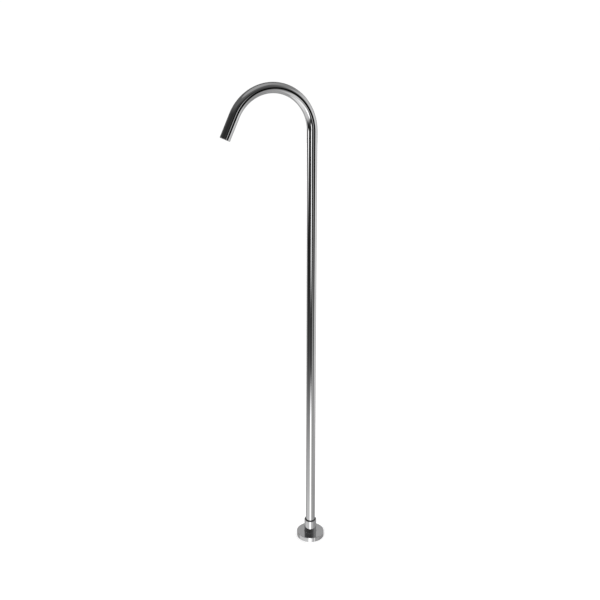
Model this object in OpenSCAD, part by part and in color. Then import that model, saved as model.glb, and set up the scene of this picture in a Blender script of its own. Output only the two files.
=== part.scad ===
// Floor-standing basin spout: a bent tube that turns in a collar on a floor-mounted base.
// The origin is on the riser's axis at floor level, +Z is up and the spout reaches along -X.

/* [Spout tube] */
// Height of the top of the arch above the floor
overall_h = 1240; // [700:5:1600]
// Outside diameter of the tube
tube_d = 25.4; // [22:0.1:26]
// Wall of the tube
tube_wall = 1.2; // [1:0.1:1.6]
// Radius of the bend, at the middle of the tube
bend_r = 104; // [60:1:180]
// Angle the tube turns through from straight up
bend_sweep = 154.5; // [100:0.5:175]
// Straight length after the bend
tip_l = 57; // [30:1:150]

/* [Cover flange] */
// Outside diameter of the cover flange
flange_d = 75; // [74:1:120]
// Height of the cover flange
flange_h = 13; // [12.5:0.5:25]
// Wall of the flange's skirt
skirt_wall = 2; // [1.5:0.1:3]
// Thickness of the flange's flat top
roof_t = 2.5; // [2:0.1:2.7]
// Bevel on the flange's top outer edge
flange_edge = 0.8; // [0.3:0.1:1.5]

/* [Collar] */
// Height of the collar's mouth above the floor
collar_top = 51; // [48:1:80]
// Wall of the collar beside the guide bush
collar_lip = 1.55; // [1:0.05:3]
// Width of the ledge that carries the guide bush
ledge_w = 0.75; // [0.5:0.05:1]
// Bevel on the collar's top outer edge
collar_edge = 0.4; // [0.2:0.1:0.8]
// Wall of the guide bush
bush_wall = 2.2; // [2:0.1:4]
// Length of the guide bush
bush_l = 6.5; // [4:0.5:7]

/* [Base] */
// Thickness of the rubber gasket on the floor
gasket_t = 1; // [0.5:0.5:2]
// Thickness of the base plate
plate_t = 5; // [3:0.5:6]
// Thickness of the body's foot
foot_t = 3; // [2.5:0.1:4]
// Diameter of the holes for the floor screws
floor_hole_d = 5.5; // [4:0.5:6.5]
// Number of floor screws
floor_holes = 3; // [3:1:6]
// Number of screws between the body and the base plate
plate_screw_count = 3; // [3:1:4]
// Diameter of the inlet thread's bore, for a half-inch pipe
inlet_bore_d = 19; // [17.9:0.1:19.4]
// Depth of the inlet thread
inlet_depth = 13; // [10:1:14]

/* [Swivel] */
// Step between the tube's outside and the swivel journal
shoulder_w = 2.5; // [2:0.1:3]
// Thickness of the stem's shoulder
shoulder_t = 2.5; // [2:0.5:3]
// Thickness of the glide ring under the shoulder
glide_t = 1.5; // [1:0.1:2]
// Depth of the grooves for the stem's O-rings
groove_depth = 1.8; // [1.2:0.1:2]
// Width of the grooves for the stem's O-rings
groove_w = 2.4; // [2.2:0.1:2.8]
// Length of the stem inside the tube
spigot_l = 12; // [8:1:20]

/* [Outlet] */
// Distance from the tube's end in to the aerator's face
outlet_recess = 1; // [0.5:0.5:3]
// Wall of the outlet bush
outlet_wall = 1.8; // [1.4:0.1:2.2]
// Length of the aerator's housing
housing_l = 9; // [8:0.5:14]
// Width across the flats of a honeycomb cell
cell_w = 1.8; // [1.4:0.1:2.2]

/* [Hidden] */
$fn = 96;

// How far a cut runs past the face it opens
cut = 1;
// Radial clearance of a shaft that turns
running = 0.05;
// Radial clearance of a pressed or brazed piece, and of an O-ring at its groove
press = 0.02;
// Radial clearance of pieces that slide together by hand
slip = 0.1;
// Free space between pieces that never touch
gap = 0.3;

// Radii of the tube
tube_r = tube_d / 2;
tube_in_r = tube_r - tube_wall;
// Height at which the bend starts
bend_z = overall_h - bend_r - tube_r;
// The tip starts this far inside the bend, a hair thinner than it, so that the two are one solid
join_l = 1.5;
join_step = 0.05;

// Radii of the collar, worked outwards from the tube
bush_in_r = tube_r + running;
collar_mouth_r = bush_in_r + bush_wall;
collar_r = collar_mouth_r + collar_lip;
collar_bore_r = collar_mouth_r - ledge_w;
body_r = collar_bore_r - slip;

// Heights of the base, worked up from the floor
plate_top = gasket_t + plate_t;
foot_top = plate_top + foot_t;

// Heights of the swivel, worked down from the collar's mouth
bush_recess = 0.5;
ledge_z = collar_top - bush_recess - bush_l;
tube_below_ledge = 2;
tube_z = ledge_z - tube_below_ledge;
shoulder_z = tube_z - shoulder_t;
body_top = shoulder_z - glide_t;

// Inlet, pocket for the washer and the filter, and the socket above them
inlet_r = inlet_bore_d / 2;
pocket_step = 0.75;
pocket_r = inlet_r - pocket_step;
washer_t = 1.5;
filter_t = 1;
pocket_top = inlet_depth + gap + washer_t + filter_t;
web_t = 2.2;
socket_z = pocket_top + web_t;
spigot_wall = 2.5;
inlet_spigot_r = inlet_r + spigot_wall;

// Swivel journal and the stem's water way
journal_r = tube_r - shoulder_w;
socket_r = journal_r + running;
stem_wall = 1.7;
water_r = journal_r - groove_depth - stem_wall;
stem_z = socket_z + gap + 0.2;
land = 1.8;
lower_groove_z = stem_z + land;
upper_groove_z = lower_groove_z + groove_w + land;

// Screw whose dog point runs in the stem's groove
retainer_r = 2;
dog_r = 1.2;
retain_drop = 4;
retain_z = body_top - retain_drop;
retain_groove_w = 2 * (dog_r + gap);
retain_groove_depth = 1.5;
dog_tip_r = journal_r - retain_groove_depth + gap;

// Set screw in the collar
set_screw_r = 1.5;
set_screw_rise = 9;
set_screw_z = foot_top + set_screw_rise;
dimple_depth = 0.6;

// Countersunk screws between the foot and the plate
screw_r = 1.5;
screw_head_r = 2.8;
screw_head_h = 1.4;
// How far a countersunk head widens in a millimetre of its height
screw_flare = (screw_head_r - screw_r) / screw_head_h;
screw_key_r = 1.1;
screw_tip_z = gasket_t + gap;
screw_top_z = foot_top - slip;
plate_screw_circle_r = collar_r + gap + screw_head_r;
plate_screw_start = 180 / plate_screw_count;
screw_edge = 1.2;
foot_r = plate_screw_circle_r + screw_head_r + screw_edge;

// Cover flange and its O-ring
flange_r = flange_d / 2;
skirt_in_r = flange_r - skirt_wall;
roof_z = flange_h - roof_t;
hub_z = foot_top + gap;
cover_bore_r = collar_r + slip;
cover_groove_depth = 1.4;
cover_groove_w = 1.8;
hub_wall = 1.5;
hub_r = cover_bore_r + cover_groove_depth + hub_wall;
small_bevel = 0.2;

// Base plate under the cover
plate_r = skirt_in_r - gap;
floor_screw_inset = 6.2;
floor_circle_r = plate_r - floor_screw_inset;
plate_bevel = 0.5;

// Outlet, along the tip from the tube's end
bush_out_r = tube_in_r - press;
thread_r = bush_out_r - outlet_wall;
housing_r = thread_r - running;
housing_wall = 1.2;
housing_in_r = housing_r - housing_wall;
insert_r = housing_in_r - running;
lip_w = 0.8;
lip_t = 1;
seal_t = 1.5;
outlet_ledge_t = 1.5;
outlet_ledge_w = 1.5;
regulator_t = 2.2;
screen_t = 0.8;
key_slot_w = 1.4;
key_slot_d = 0.8;
key_slots = 4;

chrome = [0.83, 0.84, 0.86];
brass = [0.80, 0.66, 0.36];
steel = [0.60, 0.61, 0.63];
black_rubber = [0.08, 0.08, 0.08];
dark_plastic = [0.14, 0.14, 0.15];
pale_plastic = [0.88, 0.88, 0.86];

// A turned ring between two radii and two heights
module ring(outer_r, inner_r, z0, z1) {
    rotate_extrude() translate([inner_r, z0]) square([outer_r - inner_r, z1 - z0]);
}

// An O-ring that fills a groove from its floor to the wall it seals on
module o_ring(floor_r, wall_r, z) {
    cord_r = (abs(wall_r - floor_r) - 2 * press) / 2;
    rotate_extrude() translate([(wall_r + floor_r) / 2, z]) circle(r = cord_r, $fn = 32);
}

// A disc pierced by rows of cells in a close-packed pattern
module pierced_disc(disc_r, thickness, field_r, pitch, cell_d, cell_fn) {
    rows = ceil(field_r / pitch) + 1;
    linear_extrude(thickness) difference() {
        circle(r = disc_r);
        for (i = [-rows:rows], j = [-rows:rows]) {
            cell_x = (i + j / 2) * pitch;
            cell_y = j * pitch * sin(60);
            if (norm([cell_x, cell_y]) + cell_d / 2 <= field_r)
                translate([cell_x, cell_y]) rotate(30) circle(d = cell_d, $fn = cell_fn);
        }
    }
}

// A grub screw along +X from its tip, with a key socket in its outer end
module grub_screw(tip_x, end_x, thread_radius, point_r, point_l, key_r) {
    key_depth = min(1.6, (end_x - tip_x - point_l) * 0.6);
    rotate([0, 90, 0]) difference() {
        union() {
            translate([0, 0, tip_x + point_l]) cylinder(r = thread_radius, h = end_x - tip_x - point_l);
            translate([0, 0, tip_x]) cylinder(r = point_r, h = point_l + thread_radius / 4);
        }
        translate([0, 0, end_x - key_depth]) cylinder(r = key_r, h = key_depth + cut, $fn = 6);
    }
}

// Children placed evenly on a circle, starting at a given angle
module on_circle(count, circle_r, start) {
    for (i = [0:count - 1]) rotate(start + i * 360 / count) translate([circle_r, 0, 0]) children();
}

// Children placed with their origin at the middle of the tube's end and +Z out of it
module at_outlet() {
    translate([-bend_r, 0, bend_z]) rotate([0, -bend_sweep, 0]) translate([bend_r, 0, tip_l]) children();
}

module floor_gasket() {
    color(black_rubber) difference() {
        ring(plate_r - plate_bevel, inlet_spigot_r + slip, 0, gasket_t);
        on_circle(floor_holes, floor_circle_r, 0)
            translate([0, 0, -cut]) cylinder(d = floor_hole_d, h = gasket_t + 2 * cut);
    }
}

module base_plate() {
    color(steel) difference() {
        rotate_extrude() polygon([
            [inlet_spigot_r + slip, gasket_t], [plate_r, gasket_t], [plate_r, plate_top - plate_bevel],
            [plate_r - plate_bevel, plate_top], [inlet_spigot_r + slip, plate_top]
        ]);
        on_circle(floor_holes, floor_circle_r, 0)
            translate([0, 0, gasket_t - cut]) cylinder(d = floor_hole_d, h = plate_t + 2 * cut);
        on_circle(plate_screw_count, plate_screw_circle_r, plate_screw_start)
            translate([0, 0, gasket_t - cut]) cylinder(r = screw_r, h = plate_t + 2 * cut);
    }
}

// Turned body: inlet thread, water way, swivel socket, and a foot that is screwed to the plate
module base_body() {
    color(brass) difference() {
        union() {
            cylinder(r = inlet_spigot_r, h = plate_top);
            translate([0, 0, plate_top]) cylinder(r = foot_r, h = foot_t);
            translate([0, 0, foot_top]) cylinder(r = body_r, h = body_top - foot_top);
        }
        translate([0, 0, -cut]) cylinder(r = inlet_r, h = inlet_depth + cut);
        translate([0, 0, inlet_depth]) cylinder(r = pocket_r, h = pocket_top - inlet_depth);
        translate([0, 0, pocket_top]) cylinder(r = water_r, h = web_t);
        translate([0, 0, socket_z]) cylinder(r = socket_r, h = body_top - socket_z + cut);
        translate([0, 0, retain_z]) rotate([0, 90, 0]) cylinder(r = retainer_r + press, h = body_r + cut);
        translate([body_r - dimple_depth, 0, set_screw_z]) rotate([0, 90, 0])
            cylinder(r = set_screw_r, h = dimple_depth + cut);
        on_circle(plate_screw_count, plate_screw_circle_r, plate_screw_start) {
            translate([0, 0, plate_top - cut]) cylinder(r = screw_r + slip, h = foot_t + 2 * cut);
            translate([0, 0, foot_top - screw_head_h]) cylinder(
                r1 = screw_r + slip, r2 = screw_head_r + slip + screw_flare * cut, h = screw_head_h + cut
            );
        }
    }
}

module plate_screws() {
    color(steel) on_circle(plate_screw_count, plate_screw_circle_r, plate_screw_start) difference() {
        union() {
            translate([0, 0, screw_tip_z]) cylinder(r = screw_r - press, h = screw_top_z - screw_tip_z);
            translate([0, 0, screw_top_z - screw_head_h])
                cylinder(r1 = screw_r, r2 = screw_head_r, h = screw_head_h);
        }
        translate([0, 0, screw_top_z - screw_head_h])
            cylinder(r = screw_key_r, h = screw_head_h + cut, $fn = 6);
    }
}

// Sleeve over the body, with a ledge near its mouth for the guide bush
module collar() {
    color(chrome) difference() {
        rotate_extrude() polygon([
            [collar_bore_r, foot_top], [collar_r, foot_top], [collar_r, collar_top - collar_edge],
            [collar_r - collar_edge, collar_top], [collar_mouth_r + small_bevel, collar_top],
            [collar_mouth_r, collar_top - small_bevel], [collar_mouth_r, ledge_z], [collar_bore_r, ledge_z]
        ]);
        translate([0, 0, set_screw_z]) rotate([0, 90, 0])
            cylinder(r = set_screw_r + press, h = collar_r + cut);
    }
}

module collar_screw() {
    color(steel) translate([0, 0, set_screw_z]) grub_screw(
        body_r - dimple_depth + press, collar_r - gap,
        set_screw_r, set_screw_r - slip, dimple_depth, set_screw_r / 2
    );
}

module guide_bush() {
    color(dark_plastic) ring(collar_mouth_r - press, bush_in_r, ledge_z, ledge_z + bush_l);
}

module glide_ring() {
    color(pale_plastic) ring(tube_r + running, socket_r + gap, body_top, shoulder_z);
}

module retaining_screw() {
    color(steel) translate([0, 0, retain_z]) grub_screw(
        dog_tip_r, body_r - gap, retainer_r, dog_r, socket_r + gap - dog_tip_r, retainer_r / 2
    );
}

module inlet_washer() {
    color(black_rubber) ring(pocket_r - press, water_r, inlet_depth + gap, inlet_depth + gap + washer_t);
}

module inlet_filter() {
    hole_d = 1.3;
    hole_pitch = 2;
    color(steel) translate([0, 0, pocket_top - filter_t])
        pierced_disc(pocket_r - press, filter_t, water_r, hole_pitch, hole_d, 24);
}

// Rosette that hides the plate and its screws and slides on the collar
module cover_flange() {
    groove_z = (hub_z + flange_h) / 2;
    color(chrome) difference() {
        rotate_extrude() polygon([
            [cover_bore_r, hub_z], [hub_r, hub_z], [hub_r, roof_z], [skirt_in_r, roof_z],
            [skirt_in_r, 0], [flange_r, 0], [flange_r, flange_h - flange_edge],
            [flange_r - flange_edge, flange_h], [cover_bore_r + small_bevel, flange_h],
            [cover_bore_r, flange_h - small_bevel]
        ]);
        ring(
            cover_bore_r + cover_groove_depth, cover_bore_r - cut,
            groove_z - cover_groove_w / 2, groove_z + cover_groove_w / 2
        );
    }
}

module cover_o_ring() {
    color(black_rubber) o_ring(cover_bore_r + cover_groove_depth, collar_r, (hub_z + flange_h) / 2);
}

// The wall of the tube, as a flat ring that may be a little thinner on both sides
module tube_section(step = 0) {
    difference() {
        circle(r = tube_r - step);
        circle(r = tube_in_r + step);
    }
}

module spout_tube() {
    color(chrome) union() {
        translate([0, 0, tube_z]) linear_extrude(bend_z - tube_z) tube_section();
        translate([-bend_r, 0, bend_z]) rotate([90, 0, 0])
            rotate_extrude(angle = bend_sweep) translate([bend_r, 0]) tube_section();
        at_outlet() translate([0, 0, -tip_l - join_l])
            linear_extrude(tip_l + join_l) tube_section(join_step);
    }
}

// Turned stem brazed into the tube's foot: shoulder, journal, two seal grooves and one for the dog point
module swivel_stem() {
    color(brass) difference() {
        union() {
            translate([0, 0, stem_z]) cylinder(r = journal_r, h = shoulder_z - stem_z);
            translate([0, 0, shoulder_z]) cylinder(r = tube_r, h = shoulder_t);
            translate([0, 0, tube_z]) cylinder(r = tube_in_r - press, h = spigot_l);
        }
        translate([0, 0, stem_z - cut]) cylinder(r = water_r, h = tube_z + spigot_l - stem_z + 2 * cut);
        for (z = [lower_groove_z, upper_groove_z])
            ring(journal_r + cut, journal_r - groove_depth, z, z + groove_w);
        ring(
            journal_r + cut, journal_r - retain_groove_depth,
            retain_z - retain_groove_w / 2, retain_z + retain_groove_w / 2
        );
    }
}

module stem_o_ring_lower() {
    color(black_rubber) o_ring(journal_r - groove_depth, socket_r, lower_groove_z + groove_w / 2);
}

module stem_o_ring_upper() {
    color(black_rubber) o_ring(journal_r - groove_depth, socket_r, upper_groove_z + groove_w / 2);
}

// Threaded ring brazed in the tube's end, with a ledge that the aerator's seal lies on
module outlet_bush() {
    thread_l = housing_l + seal_t;
    color(brass) at_outlet() translate([0, 0, -outlet_recess]) rotate_extrude() polygon([
        [thread_r, 0], [bush_out_r, 0], [bush_out_r, -thread_l - outlet_ledge_t],
        [thread_r - outlet_ledge_w, -thread_l - outlet_ledge_t], [thread_r - outlet_ledge_w, -thread_l],
        [thread_r, -thread_l]
    ]);
}

module aerator_seal() {
    color(black_rubber) at_outlet() translate([0, 0, -outlet_recess - housing_l])
        ring(thread_r - press, housing_in_r, -seal_t, 0);
}

// Threaded cup of the aerator, with slots in its rim for the key
module aerator_housing() {
    color(pale_plastic) at_outlet() translate([0, 0, -outlet_recess]) difference() {
        rotate_extrude() polygon([
            [housing_in_r - lip_w, 0], [housing_r, 0], [housing_r, -housing_l], [housing_in_r, -housing_l],
            [housing_in_r, -lip_t], [housing_in_r - lip_w, -lip_t]
        ]);
        on_circle(key_slots, housing_r, 0) translate([-housing_wall, -key_slot_w / 2, -key_slot_d])
            cube([housing_wall + cut, key_slot_w, key_slot_d + cut]);
    }
}

module flow_regulator() {
    ports = 12;
    port_d = 1.4;
    port_circle_r = insert_r - 2 * port_d;
    color(pale_plastic) at_outlet() translate([0, 0, -outlet_recess - housing_l]) difference() {
        cylinder(r = insert_r, h = regulator_t);
        on_circle(ports, port_circle_r, 0)
            translate([0, 0, -cut]) cylinder(d = port_d, h = regulator_t + 2 * cut);
    }
}

module aerator_screen() {
    hole_d = 1.1;
    hole_pitch = 1.9;
    color(steel) at_outlet() translate([0, 0, -outlet_recess - housing_l + regulator_t])
        pierced_disc(insert_r, screen_t, housing_in_r - lip_w, hole_pitch, hole_d, 24);
}

// Honeycomb that makes the stream straight, resting on the housing's lip
module jet_diffuser() {
    diffuser_l = housing_l - lip_t - regulator_t - screen_t;
    cell_wall = 0.4;
    color(pale_plastic) at_outlet() translate([0, 0, -outlet_recess - lip_t - diffuser_l])
        pierced_disc(
            insert_r, diffuser_l, housing_in_r - lip_w, cell_w + cell_wall, cell_w / cos(30), 6
        );
}

floor_gasket();
base_plate();
base_body();
plate_screws();
collar();
collar_screw();
guide_bush();
glide_ring();
retaining_screw();
inlet_washer();
inlet_filter();
cover_flange();
cover_o_ring();
spout_tube();
swivel_stem();
stem_o_ring_lower();
stem_o_ring_upper();
outlet_bush();
aerator_seal();
flow_regulator();
aerator_screen();
jet_diffuser();
aerator_housing();
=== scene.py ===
from math import cos, degrees, pi, radians, sin

import bpy
import numpy as np
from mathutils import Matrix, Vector


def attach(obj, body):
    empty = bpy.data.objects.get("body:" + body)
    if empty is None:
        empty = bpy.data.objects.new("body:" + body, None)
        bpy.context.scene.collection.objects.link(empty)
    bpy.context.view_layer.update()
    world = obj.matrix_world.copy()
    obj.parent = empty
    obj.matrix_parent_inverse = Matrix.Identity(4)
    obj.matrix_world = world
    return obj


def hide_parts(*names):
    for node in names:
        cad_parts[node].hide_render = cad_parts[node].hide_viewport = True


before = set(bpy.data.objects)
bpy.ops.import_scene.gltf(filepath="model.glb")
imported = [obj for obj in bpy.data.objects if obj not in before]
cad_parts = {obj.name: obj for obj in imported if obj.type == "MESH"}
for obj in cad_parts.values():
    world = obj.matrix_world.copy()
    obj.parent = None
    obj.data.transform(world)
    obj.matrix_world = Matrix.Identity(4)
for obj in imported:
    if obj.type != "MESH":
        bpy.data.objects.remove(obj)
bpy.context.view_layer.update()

# Looks of a floor-standing basin spout: a polished chrome tube on a chrome collar and floor flange.
# Lengths are metres in the CAD frame: the riser stands on the origin and the spout reaches along -X.

# Spout tube, with the sizes of the CAD source
TUBE_RADIUS = 0.0127
TUBE_WALL = 0.0012
TUBE_FOOT_Z = 0.042
BEND_START_Z = 1.1233
BEND_RADIUS = 0.104
BEND_SWEEP = radians(154.5)
TIP_LENGTH = 0.057
TUBE_END_ROUND = 0.0003
TUBE_SEGMENTS = 128
BEND_STATIONS = 150

# Collar
COLLAR_RADIUS = 0.0165
COLLAR_FOOT_Z = 0.009
COLLAR_TOP_Z = 0.051
COLLAR_BORE_RADIUS = 0.0142
COLLAR_MOUTH_RADIUS = 0.01495
COLLAR_LEDGE_Z = 0.044
COLLAR_EDGE_ROUND = 0.0005
SET_SCREW_Z = 0.018
SET_SCREW_HOLE_RADIUS = 0.00152

# Cover flange
FLANGE_RADIUS = 0.0375
FLANGE_HEIGHT = 0.013
FLANGE_BORE_RADIUS = 0.0166
FLANGE_SKIRT_INNER = 0.0355
FLANGE_ROOF_Z = 0.0105
FLANGE_HUB_Z = 0.0093
FLANGE_HUB_RADIUS = 0.0195
FLANGE_GROOVE_RADIUS = 0.018
FLANGE_GROOVE_WIDTH = 0.0018
FLANGE_TOP_ROUND = 0.0006
FLANGE_BORE_ROUND = 0.0007

# Edges that no one sees closely, and the fineness of round shapes
SMALL_ROUND = 0.0002
TINY_ROUND = 0.00005
ROUND_STEPS = 6
TURNED_SEGMENTS = 192
HOLE_SEGMENTS = 32
SHARP_ANGLE = radians(30)

# Camera, fitted to the tube's and the flange's outlines in the photograph. Its side is the direction that
# azimuths are counted from, seen from the object.
CAMERA_PLACE = (-0.8877, -1.7208, 1.3609)
CAMERA_HEADING = (0.4451, 0.8955)
CAMERA_PITCH = radians(-18.86)
CAMERA_LENS_MM = 48.193
SENSOR_MM = 36
CAMERA_SIDE = np.arctan2(-CAMERA_HEADING[1], -CAMERA_HEADING[0])
CLIP_NEAR = 0.05
CLIP_FAR = 100


# Meshes

def rounded_outline(corners, rounds):
    """Closed outline with its corners rounded. Each corner's arc has the given radius and touches both
    sides: it starts at radius / tan(half the corner's angle) from the corner, and its points are spaced
    evenly in angle between the two touching points. One more point on each side, close to the arc, keeps
    the side flat."""
    corners, rounds = np.array(corners, float), np.array(rounds, float)[:, None]
    back = np.roll(corners, 1, 0) - corners
    ahead = np.roll(corners, -1, 0) - corners
    back /= np.linalg.norm(back, axis=1, keepdims=True)
    ahead /= np.linalg.norm(ahead, axis=1, keepdims=True)
    half = np.arccos((back * ahead).sum(1, keepdims=True)) / 2
    middle = (back + ahead) / np.linalg.norm(back + ahead, axis=1, keepdims=True)
    centre = corners + middle * rounds / np.sin(half)
    start = (corners + back * rounds / np.tan(half) - centre)[:, None]
    end = (corners + ahead * rounds / np.tan(half) - centre)[:, None]
    sweep = (pi - 2 * half)[:, :, None]
    share = np.linspace(0, 1, ROUND_STEPS + 1)[None, :, None]
    from_start = np.sin((1 - share) * sweep) * start
    from_end = np.sin(share * sweep) * end
    arc = centre[:, None] + (from_start + from_end) / np.sin(sweep)
    hold = rounds / ROUND_STEPS
    before = arc[:, :1] + (back * hold)[:, None]
    after = arc[:, -1:] + (ahead * hold)[:, None]
    return np.concatenate([before, arc, after], 1).reshape(-1, 2)


def new_piece(name, points, faces):
    """An object at the origin whose mesh has these points and faces, shaded smoothly."""
    mesh = bpy.data.meshes.new(name)
    mesh.from_pydata(points.reshape(-1, 3), [], faces)
    mesh.shade_smooth()
    mesh.update()
    piece = bpy.data.objects.new(name, mesh)
    bpy.context.scene.collection.objects.link(piece)
    return piece


def closed_sheet(name, points):
    """Mesh of a grid of points that closes on itself both ways: four-sided faces join each point to the
    next one along its row and to the same two in the next row."""
    rows, columns = points.shape[:2]
    row, column = np.meshgrid(np.arange(rows), np.arange(columns), indexing="ij")
    next_row, next_column = (row + 1) % rows, (column + 1) % columns
    faces = np.stack([row * columns + column, row * columns + next_column,
                      next_row * columns + next_column, next_row * columns + column], -1)
    return new_piece(name, points, faces.reshape(-1, 4))


def turned(name, outline):
    """A closed outline of radius and height carried round the Z axis: x = radius cos a, y = radius sin a."""
    angle = np.linspace(0, 2 * pi, TURNED_SEGMENTS, endpoint=False)
    radius, height = outline[:, 0, None], outline[:, 1, None]
    points = np.stack([radius * np.cos(angle), radius * np.sin(angle), height + 0 * angle], -1)
    return closed_sheet(name, points)


def cross_drilled(piece, radius, height):
    """Drills a round hole along +X through one wall of a turned piece, with a rod whose two rings of points
    are x = 0 or past the wall, y = radius cos a, z = height + radius sin a. The angles a start half a step
    off zero, so that no corner of the rod meets a row of the piece's own points."""
    angle = np.linspace(0, 2 * pi, HOLE_SEGMENTS, endpoint=False) + pi / HOLE_SEGMENTS
    ring = np.stack([0 * angle, radius * np.cos(angle), height + radius * np.sin(angle)], -1)
    points = np.concatenate([ring, ring + np.array([2 * COLLAR_RADIUS, 0, 0])])
    first = np.arange(HOLE_SEGMENTS)
    second = (first + 1) % HOLE_SEGMENTS
    sides = np.stack([first, second, second + HOLE_SEGMENTS, first + HOLE_SEGMENTS], -1)
    ends = [first[::-1].tolist(), (first + HOLE_SEGMENTS).tolist()]
    drill = new_piece("drill", points, sides.tolist() + ends)
    cut = piece.modifiers.new("hole", "BOOLEAN")
    cut.operation, cut.solver, cut.object = "DIFFERENCE", "EXACT", drill
    finished = bpy.data.meshes.new_from_object(piece.evaluated_get(bpy.context.evaluated_depsgraph_get()))
    piece.modifiers.clear()
    piece.data = finished
    bpy.data.objects.remove(drill)
    finished.shade_smooth()
    finished.set_sharp_from_angle(angle=SHARP_ANGLE)
    return piece


# Pieces that replace CAD nodes

def spout_path(distance):
    """Middle line of the tube at a distance from its foot: straight up to the bend, round the bend's
    centre, then straight on. Gives each point, and the direction that is the outside of the bend there."""
    riser_length = BEND_START_Z - TUBE_FOOT_Z
    turn = np.clip((distance - riser_length) / BEND_RADIUS, 0, BEND_SWEEP)
    before = np.minimum(distance - riser_length, 0)
    past = np.maximum(distance - riser_length - BEND_RADIUS * BEND_SWEEP, 0)
    outward = np.stack([np.cos(turn), 0 * turn, np.sin(turn)], -1)
    along = np.stack([-np.sin(turn), 0 * turn, np.cos(turn)], -1)
    centre = np.array([-BEND_RADIUS, 0, BEND_START_Z])
    return centre + BEND_RADIUS * outward + (before + past)[:, None] * along, outward


def bent_tube(name):
    """The tube's wall carried along its path: its closed section, of distance along the path and radius,
    runs out along the outside and back along the inside, and each of its points is turned round the path's
    middle line."""
    length = BEND_START_Z - TUBE_FOOT_Z + BEND_RADIUS * BEND_SWEEP + TIP_LENGTH
    inner = TUBE_RADIUS - TUBE_WALL
    ends = rounded_outline([(0, inner), (0, TUBE_RADIUS), (length, TUBE_RADIUS), (length, inner)],
                           [TUBE_END_ROUND] * 4)
    bend = np.linspace(BEND_START_Z - TUBE_FOOT_Z, length - TIP_LENGTH, BEND_STATIONS)
    outside = np.stack([bend, np.full_like(bend, TUBE_RADIUS)], -1)
    inside = np.stack([bend[::-1], np.full_like(bend, inner)], -1)
    half = len(ends) // 2
    section = np.concatenate([ends[:half], outside, ends[half:], inside])
    middle, outward = spout_path(section[:, 0])
    angle = np.linspace(0, 2 * pi, TUBE_SEGMENTS, endpoint=False)[None, :, None]
    sideways = np.array([0.0, 1.0, 0.0])
    reach = np.cos(angle) * outward[:, None] + np.sin(angle) * sideways
    return closed_sheet(name, middle[:, None] + section[:, 1, None, None] * reach)


def drilled_collar(name):
    """Collar: a sleeve with a wider mouth for the guide bush, rounded edges and the set screw's hole."""
    corners = [
        (COLLAR_BORE_RADIUS, COLLAR_FOOT_Z), (COLLAR_RADIUS, COLLAR_FOOT_Z), (COLLAR_RADIUS, COLLAR_TOP_Z),
        (COLLAR_MOUTH_RADIUS, COLLAR_TOP_Z), (COLLAR_MOUTH_RADIUS, COLLAR_LEDGE_Z),
        (COLLAR_BORE_RADIUS, COLLAR_LEDGE_Z),
    ]
    rounds = [SMALL_ROUND, SMALL_ROUND, COLLAR_EDGE_ROUND, SMALL_ROUND, TINY_ROUND, TINY_ROUND]
    sleeve = turned(name, rounded_outline(corners, rounds))
    return cross_drilled(sleeve, SET_SCREW_HOLE_RADIUS, SET_SCREW_Z)


def turned_flange(name):
    """Cover flange: a flat roof, a skirt down to the floor, a hub round the bore and its ring's groove."""
    groove_middle = (FLANGE_HUB_Z + FLANGE_HEIGHT) / 2
    groove_low = groove_middle - FLANGE_GROOVE_WIDTH / 2
    groove_high = groove_middle + FLANGE_GROOVE_WIDTH / 2
    corners = [
        (FLANGE_BORE_RADIUS, FLANGE_HUB_Z), (FLANGE_HUB_RADIUS, FLANGE_HUB_Z),
        (FLANGE_HUB_RADIUS, FLANGE_ROOF_Z), (FLANGE_SKIRT_INNER, FLANGE_ROOF_Z), (FLANGE_SKIRT_INNER, 0),
        (FLANGE_RADIUS, 0), (FLANGE_RADIUS, FLANGE_HEIGHT), (FLANGE_BORE_RADIUS, FLANGE_HEIGHT),
        (FLANGE_BORE_RADIUS, groove_high), (FLANGE_GROOVE_RADIUS, groove_high),
        (FLANGE_GROOVE_RADIUS, groove_low), (FLANGE_BORE_RADIUS, groove_low),
    ]
    rounds = [TINY_ROUND] + [SMALL_ROUND] * 5 + [FLANGE_TOP_ROUND, FLANGE_BORE_ROUND] + [TINY_ROUND] * 4
    return turned(name, rounded_outline(corners, rounds))


# Shader nodes

# A cloud is a noise whose values between low and high are spread over the whole of the wanted range.
CLOUD_DETAIL = 3.0
CLOUD_LOW = 0.35
CLOUD_HIGH = 0.65
WOBBLE_SCALE = 300.0


def fed(tree, socket, value):
    """Links a socket to an input, or sets the input to a number or colour."""
    if isinstance(value, bpy.types.NodeSocket):
        tree.links.new(value, socket)
    else:
        socket.default_value = value


def math_node(tree, operation, *values):
    """A Math node whose inputs are numbers or sockets. Gives its output."""
    node = tree.nodes.new("ShaderNodeMath")
    node.operation = operation
    for socket, value in zip(node.inputs, values):
        fed(tree, socket, value)
    return node.outputs[0]


def noise(tree, place, scale, detail=2.0):
    """The grey value of a Noise texture on the given coordinates."""
    node = tree.nodes.new("ShaderNodeTexNoise")
    for label, value in (("Vector", place), ("Scale", scale), ("Detail", detail)):
        fed(tree, node.inputs[label], value)
    return node.outputs["Fac"]


def smooth_range(tree, value, low, high, new_low=0.0, new_high=1.0):
    """The value, moved smoothly from one range to another. Each limit is a number or a socket."""
    node = tree.nodes.new("ShaderNodeMapRange")
    node.interpolation_type = "SMOOTHSTEP"
    labels = ("Value", "From Min", "From Max", "To Min", "To Max")
    for label, limit in zip(labels, (value, low, high, new_low, new_high)):
        fed(tree, node.inputs[label], limit)
    return node.outputs["Result"]


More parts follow.
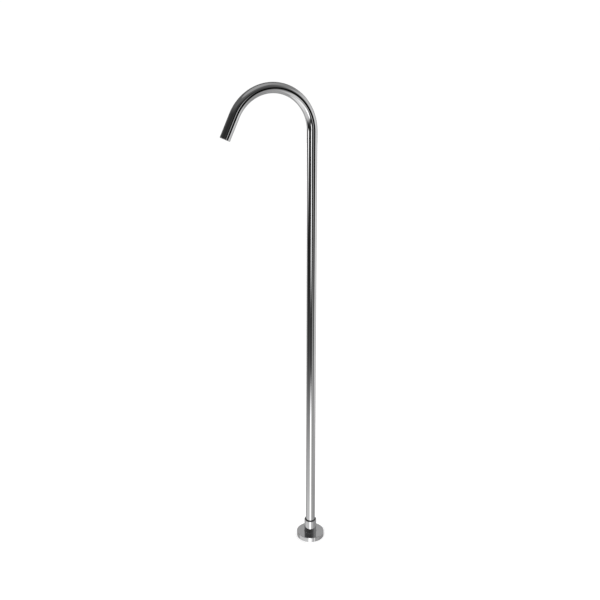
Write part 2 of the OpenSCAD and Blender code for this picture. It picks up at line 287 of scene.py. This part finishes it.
def new_group(name, inputs, output):
    """A shader node group with a Vector input, number inputs given as names and values, and one number
    output. Gives the group, the outputs of its input node, and the socket that its result goes to."""
    group = bpy.data.node_groups.new(name, "ShaderNodeTree")
    group.interface.new_socket("Vector", in_out="INPUT", socket_type="NodeSocketVector")
    for label, value in inputs.items():
        group.interface.new_socket(label, in_out="INPUT", socket_type="NodeSocketFloat").default_value = value
    group.interface.new_socket(output, in_out="OUTPUT", socket_type="NodeSocketFloat")
    return group, group.nodes.new("NodeGroupInput").outputs, group.nodes.new("NodeGroupOutput").inputs[output]


def placed(tree, group, **values):
    """A shared group in a tree, with its inputs set or linked by name. Gives its output."""
    node = tree.nodes.new("ShaderNodeGroup")
    node.node_tree = group
    for label, value in values.items():
        fed(tree, node.inputs[label.replace("_", " ")], value)
    return node.outputs[0]


def patchy_value_group():
    """Patchy Value: a soft cloudy noise moved to the range Low to High, for a roughness never quite even."""
    group, given, made = new_group("Patchy Value", {"Scale": 40.0, "Low": 0.2, "High": 0.3}, "Value")
    cloud = noise(group, given["Vector"], given["Scale"], CLOUD_DETAIL)
    value = smooth_range(group, cloud, CLOUD_LOW, CLOUD_HIGH, given["Low"], given["High"])
    group.links.new(value, made)
    return group


def turning_marks_group():
    """Turning Marks: the fine rings that a lathe leaves round the Z axis, as a height from 0 to 1. They
    follow the sum of the height and the distance from the axis, so that they show on walls and on faces."""
    group, given, made = new_group("Turning Marks", {"Pitch": 0.0005, "Wander": 0.3}, "Height")
    split = group.nodes.new("ShaderNodeSeparateXYZ")
    group.links.new(given["Vector"], split.inputs[0])
    x, y, z = split.outputs
    square = math_node(group, "MULTIPLY_ADD", x, x, math_node(group, "MULTIPLY", y, y))
    across = math_node(group, "POWER", square, 0.5)
    turns = math_node(group, "DIVIDE", math_node(group, "ADD", z, across), given["Pitch"])
    wobble = math_node(group, "MULTIPLY", noise(group, given["Vector"], WOBBLE_SCALE), given["Wander"])
    phase = math_node(group, "MULTIPLY", math_node(group, "ADD", turns, wobble), 2 * pi)
    wave = math_node(group, "SINE", phase)
    group.links.new(math_node(group, "MULTIPLY_ADD", wave, 0.5, 0.5), made)
    return group


PATCHY = patchy_value_group()
TURNING = turning_marks_group()


# Materials

# Dull and bright patches of turned steel, as shares of its colour
STEEL_DULL = 0.82
STEEL_BRIGHT = 1.12


def new_material(name, colour, metallic=0.0):
    """A material with one Principled shader, whose even values are set on its own sockets. Gives the
    material, its tree, the shader and the object's coordinates."""
    material = bpy.data.materials.new(name)
    material.use_nodes = True
    tree = material.node_tree
    shader = tree.nodes["Principled BSDF"]
    shader.inputs["Base Color"].default_value = (*colour, 1)
    shader.inputs["Metallic"].default_value = metallic
    return material, tree, shader, tree.nodes.new("ShaderNodeTexCoord").outputs["Object"]


def clouded(tree, shader, place, scale, dark, light):
    """Feeds the shader's colour with a cloudy mix of two."""
    mix = tree.nodes.new("ShaderNodeMix")
    mix.data_type = "RGBA"
    cloud = smooth_range(tree, noise(tree, place, scale, CLOUD_DETAIL), CLOUD_LOW, CLOUD_HIGH)
    tree.links.new(cloud, mix.inputs["Factor"])
    mix.inputs["A"].default_value, mix.inputs["B"].default_value = (*dark, 1), (*light, 1)
    tree.links.new(mix.outputs["Result"], shader.inputs["Base Color"])


def patchy(tree, shader, place, scale, low, high):
    """Feeds the shader's roughness with the shared Patchy Value group."""
    value = placed(tree, PATCHY, Vector=place, Scale=scale, Low=low, High=high)
    tree.links.new(value, shader.inputs["Roughness"])


def bumped(tree, shader, height, depth):
    """Feeds the shader's normal from a height of 0 to 1 that stands for a depth in metres."""
    bump = tree.nodes.new("ShaderNodeBump")
    bump.inputs["Distance"].default_value = depth
    tree.links.new(height, bump.inputs["Height"])
    tree.links.new(bump.outputs["Normal"], shader.inputs["Normal"])


def polished_chrome(name):
    """Bright chrome plate: a mirror with a faint haze that comes and goes, and a barely uneven colour."""
    material, tree, shader, place = new_material(name, (0.68, 0.68, 0.685), metallic=1.0)
    clouded(tree, shader, place, scale=9.0, dark=(0.665, 0.665, 0.67), light=(0.695, 0.695, 0.70))
    patchy(tree, shader, place, scale=18.0, low=0.025, high=0.05)
    return material


def turned_brass(name):
    """Turned brass with the rings of the lathe and a slight tarnish."""
    material, tree, shader, place = new_material(name, (0.80, 0.62, 0.33), metallic=1.0)
    clouded(tree, shader, place, scale=60.0, dark=(0.62, 0.45, 0.22), light=(0.86, 0.68, 0.38))
    patchy(tree, shader, place, scale=120.0, low=0.18, high=0.34)
    bumped(tree, shader, placed(tree, TURNING, Vector=place, Pitch=0.0005, Wander=0.4), depth=0.00002)
    return material


def turned_steel(name, colour, pitch):
    """Turned or rolled steel with fine rings and dull patches."""
    material, tree, shader, place = new_material(name, colour, metallic=1.0)
    shade = np.array(colour)
    clouded(tree, shader, place, scale=45.0, dark=STEEL_DULL * shade, light=STEEL_BRIGHT * shade)
    patchy(tree, shader, place, scale=90.0, low=0.25, high=0.42)
    bumped(tree, shader, placed(tree, TURNING, Vector=place, Pitch=pitch, Wander=0.3), depth=0.000015)
    return material


def moulded(name, dark, light, roughness, grain_scale, grain_depth):
    """Moulded rubber or plastic: a fine grain, a slightly uneven colour and patchy roughness, whose range
    is given as two numbers."""
    material, tree, shader, place = new_material(name, light)
    low, high = roughness
    clouded(tree, shader, place, scale=70.0, dark=dark, light=light)
    patchy(tree, shader, place, scale=150.0, low=low, high=high)
    bumped(tree, shader, noise(tree, place, grain_scale), grain_depth)
    return material


FINISHES = {
    "chrome_tube": polished_chrome("chrome tube"),
    "chrome_collar": polished_chrome("chrome collar"),
    "chrome_flange": polished_chrome("chrome flange"),
    "brass": turned_brass("turned brass"),
    "plate_steel": turned_steel("base plate steel", colour=(0.56, 0.57, 0.58), pitch=0.0006),
    "screw_steel": turned_steel("screw steel", colour=(0.62, 0.63, 0.65), pitch=0.0004),
    "mesh_steel": turned_steel("screen steel", colour=(0.60, 0.61, 0.62), pitch=0.0003),
    "rubber": moulded(
        "black rubber", dark=(0.03, 0.03, 0.031), light=(0.045, 0.045, 0.047),
        roughness=(0.55, 0.75), grain_scale=2500, grain_depth=0.00003,
    ),
    "dark_plastic": moulded(
        "dark bush plastic", dark=(0.02, 0.02, 0.022), light=(0.03, 0.03, 0.033),
        roughness=(0.3, 0.42), grain_scale=3500, grain_depth=0.00001,
    ),
    "pale_plastic": moulded(
        "pale plastic", dark=(0.72, 0.72, 0.70), light=(0.82, 0.82, 0.80),
        roughness=(0.32, 0.45), grain_scale=3000, grain_depth=0.00001,
    ),
}


# Object

NEW_PIECES = {
    "polished_spout_tube": (bent_tube, "spout", "spout_tube", "chrome_tube"),
    "polished_collar": (drilled_collar, "base", "collar", "chrome_collar"),
    "polished_cover_flange": (turned_flange, "cover", "cover_flange", "chrome_flange"),
}

for piece_name, (build, body, node, finish) in NEW_PIECES.items():
    piece = build(piece_name)
    piece.data.materials.append(FINISHES[finish])
    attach(piece, body)
    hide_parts(node)

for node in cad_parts.values():
    for material_slot in node.material_slots:
        material_slot.material = FINISHES[material_slot.material.name.split(".")[0]]


# Studio

# The surroundings that the chrome mirrors, listed one by one and painted one over another. Each has, in
# degrees: the azimuth of its middle, counted to the right from the camera, its half width and the softness
# of its sides; then its lowest and highest elevation and the softness of these edges; and last its
# brightness.
SURROUNDINGS = {
    "ceiling": ((0, 180, 20), (60, 120, 40), 0.45),
    "wall behind": ((155, 95, 5), (-30, 30, 15), 0.65),
    "dark upper room": ((-70, 140, 25), (-10, 60, 5), 0.15),
    "lit top of the wall behind": ((180, 25, 40), (32, 38, 8), 0.50),
    "dark room in front": ((-15, 60, 45), (-30, 35, 30), 0.02),
    "wall at the right": ((90, 10, 50), (-25, 10, 20), 1.10),
    "dark corner at the left": ((-85, 28, 25), (-30, 30, 30), 0.02),
    "floor at the left": ((-60, 45, 5), (-95, -30, 15), 0.80),
    "near floor at the left": ((-60, 60, 20), (-95, -50, 10), 1.00),
    "floor behind": ((135, 55, 10), (-55, -30, 15), 0.35),
    "floor at the right": ((25, 25, 45), (-65, -50, 40), 1.20),
    "light pool on the floor": ((0, 18, 10), (-60, -26, 5), 1.25),
    "dark gap beside the strip light": ((-10, 10, 5), (-25, 40, 5), 0.05),
    "brightest part of the pool": ((-5, 5, 10), (-40, -26, 5), 2.80),
    "doorway": ((35, 5, 10), (-40, 10, 15), 1.10),
    "dark gap beside the doorway": ((55, 20, 10), (-25, 10, 25), 0.00),
    "soft box at the left": ((-88, 10, 10), (-10, 20, 10), 2.30),
    "foot of the strip light": ((-10, 5, 5), (-18, -10, 5), 2.20),
    "strip light": ((-15, 5, 5), (-10, 15, 5), 2.50),
}
FLOOR_GLOW = 0.45
AIR_GLOW = 0.30
HORIZON_SOFTNESS = 60.0
BACKDROP_WHITE = 1.03
WHITE = (1, 1, 1, 1)

# Floor and lamps. The floor is a wide ring whose pinhole lies under the middle of the object.
FLOOR_HUB = 0.001
FLOOR_RADIUS = 8.0
FLOOR_THICKNESS = 0.01
FLOOR_COLOUR = (0.8, 0.8, 0.8)
FLOOR_DARKER = (0.79, 0.79, 0.79)
FLOOR_LIGHTER = (0.81, 0.81, 0.81)
FLOOR_LIFT = 0.4
SUN_SOFTNESS = radians(50)


def soft_edge(tree, value, edge, softness):
    """0 below an edge and 1 above it, changing smoothly over the softness."""
    half = math_node(tree, "MULTIPLY", softness, 0.5)
    low = math_node(tree, "SUBTRACT", edge, half)
    high = math_node(tree, "ADD", edge, half)
    return smooth_range(tree, value, low, high)


def soft_patch_group():
    """Soft Patch: paints a level over another inside a soft-edged patch of azimuth and elevation, in
    degrees."""
    labels = ("Azimuth", "Middle", "Half Width", "Side Softness",
              "Elevation", "Low", "High", "End Softness", "Level", "Under")
    group, given, made = new_group("Soft Patch", dict.fromkeys(labels, 0.0), "Painted")
    off = math_node(group, "WRAP", math_node(group, "SUBTRACT", given["Azimuth"], given["Middle"]), 180, -180)
    away = math_node(group, "ABSOLUTE", off)
    beside = soft_edge(group, away, given["Half Width"], given["Side Softness"])
    above_low = soft_edge(group, given["Elevation"], given["Low"], given["End Softness"])
    above_high = soft_edge(group, given["Elevation"], given["High"], given["End Softness"])
    band = math_node(group, "MULTIPLY", above_low, math_node(group, "SUBTRACT", 1, above_high))
    inside = math_node(group, "MULTIPLY", math_node(group, "SUBTRACT", 1, beside), band)
    change = math_node(group, "SUBTRACT", given["Level"], given["Under"])
    group.links.new(math_node(group, "MULTIPLY_ADD", change, inside, given["Under"]), made)
    return group


def studio_world():
    """Plain white to the camera, and to all else a studio whose brightness depends on the direction."""
    world = bpy.data.worlds.new("studio")
    bpy.context.scene.world = world
    world.use_nodes = True
    tree = world.node_tree
    direction = tree.nodes.new("ShaderNodeSeparateXYZ")
    tree.links.new(tree.nodes.new("ShaderNodeTexCoord").outputs["Generated"], direction.inputs[0])
    x, y, z = direction.outputs
    turn = math_node(tree, "ARCTAN2", y, x)
    azimuth = math_node(tree, "MULTIPLY_ADD", turn, degrees(1), -degrees(CAMERA_SIDE))
    elevation = math_node(tree, "MULTIPLY", math_node(tree, "ARCSINE", z), degrees(1))
    rise = soft_edge(tree, elevation, 0, HORIZON_SOFTNESS)
    level = math_node(tree, "MULTIPLY_ADD", rise, AIR_GLOW - FLOOR_GLOW, FLOOR_GLOW)
    patch = soft_patch_group()
    for (middle, half_width, side_softness), (low, high, end_softness), brightness in SURROUNDINGS.values():
        level = placed(
            tree, patch, Under=level, Level=brightness,
            Azimuth=azimuth, Middle=middle, Half_Width=half_width, Side_Softness=side_softness,
            Elevation=elevation, Low=low, High=high, End_Softness=end_softness,
        )
    seen = tree.nodes.new("ShaderNodeLightPath").outputs["Is Camera Ray"]
    whiter = math_node(tree, "SUBTRACT", BACKDROP_WHITE, level)
    shown = math_node(tree, "MULTIPLY_ADD", whiter, seen, level)
    tree.links.new(shown, tree.nodes["Background"].inputs["Strength"])
    tree.nodes["Background"].inputs["Color"].default_value = WHITE


def soft_sun(name, azimuth, elevation, strength):
    """A very soft sun, so that the floor is lit evenly far out. The chrome doesn't mirror it. Its azimuth is
    counted as the surroundings' is."""
    light = bpy.data.lights.new(name, "SUN")
    light.energy = strength
    light.angle = SUN_SOFTNESS
    lamp = bpy.data.objects.new(name, light)
    bpy.context.scene.collection.objects.link(lamp)
    side = CAMERA_SIDE + radians(azimuth)
    up = radians(elevation)
    down_ray = -Vector((cos(up) * cos(side), cos(up) * sin(side), sin(up)))
    lamp.rotation_mode = "QUATERNION"
    lamp.rotation_quaternion = down_ray.to_track_quat("-Z", "Y")
    lamp.visible_glossy = False


def studio_floor():
    """A round pale floor. The camera sees it lifted to white, so that only the object's soft shadow shows
    on it; the chrome sees the floor's glow in the studio round it instead."""
    outline = [
        (FLOOR_HUB, -FLOOR_THICKNESS), (FLOOR_RADIUS, -FLOOR_THICKNESS),
        (FLOOR_RADIUS, 0), (FLOOR_HUB, 0),
    ]
    floor = turned("studio_floor", np.array(outline))
    floor.data.shade_flat()
    floor.visible_glossy = False
    material, tree, shader, place = new_material("studio floor", FLOOR_COLOUR)
    shader.inputs["Specular IOR Level"].default_value = 0
    clouded(tree, shader, place, scale=1.0, dark=FLOOR_DARKER, light=FLOOR_LIGHTER)
    shader.inputs["Emission Color"].default_value = WHITE
    seen = tree.nodes.new("ShaderNodeLightPath").outputs["Is Camera Ray"]
    tree.links.new(math_node(tree, "MULTIPLY", seen, FLOOR_LIFT), shader.inputs["Emission Strength"])
    floor.data.materials.append(material)


def photograph_camera():
    """The camera that took the photograph, level from side to side."""
    data = bpy.data.cameras.new("camera")
    data.lens = CAMERA_LENS_MM
    data.sensor_width = SENSOR_MM
    data.clip_start = CLIP_NEAR
    data.clip_end = CLIP_FAR
    camera = bpy.data.objects.new("camera", data)
    bpy.context.scene.collection.objects.link(camera)
    level_x, level_y = CAMERA_HEADING
    looking = Vector((level_x * cos(CAMERA_PITCH), level_y * cos(CAMERA_PITCH), sin(CAMERA_PITCH)))
    camera.location = CAMERA_PLACE
    camera.rotation_mode = "QUATERNION"
    camera.rotation_quaternion = looking.to_track_quat("-Z", "Y")
    bpy.context.scene.camera = camera


studio_world()
soft_sun("key light", azimuth=-50, elevation=50, strength=1.5)
soft_sun("fill light", azimuth=60, elevation=35, strength=0.8)
soft_sun("back light", azimuth=170, elevation=45, strength=0.8)
studio_floor()
photograph_camera()
bpy.context.scene.view_settings.view_transform = "Standard"
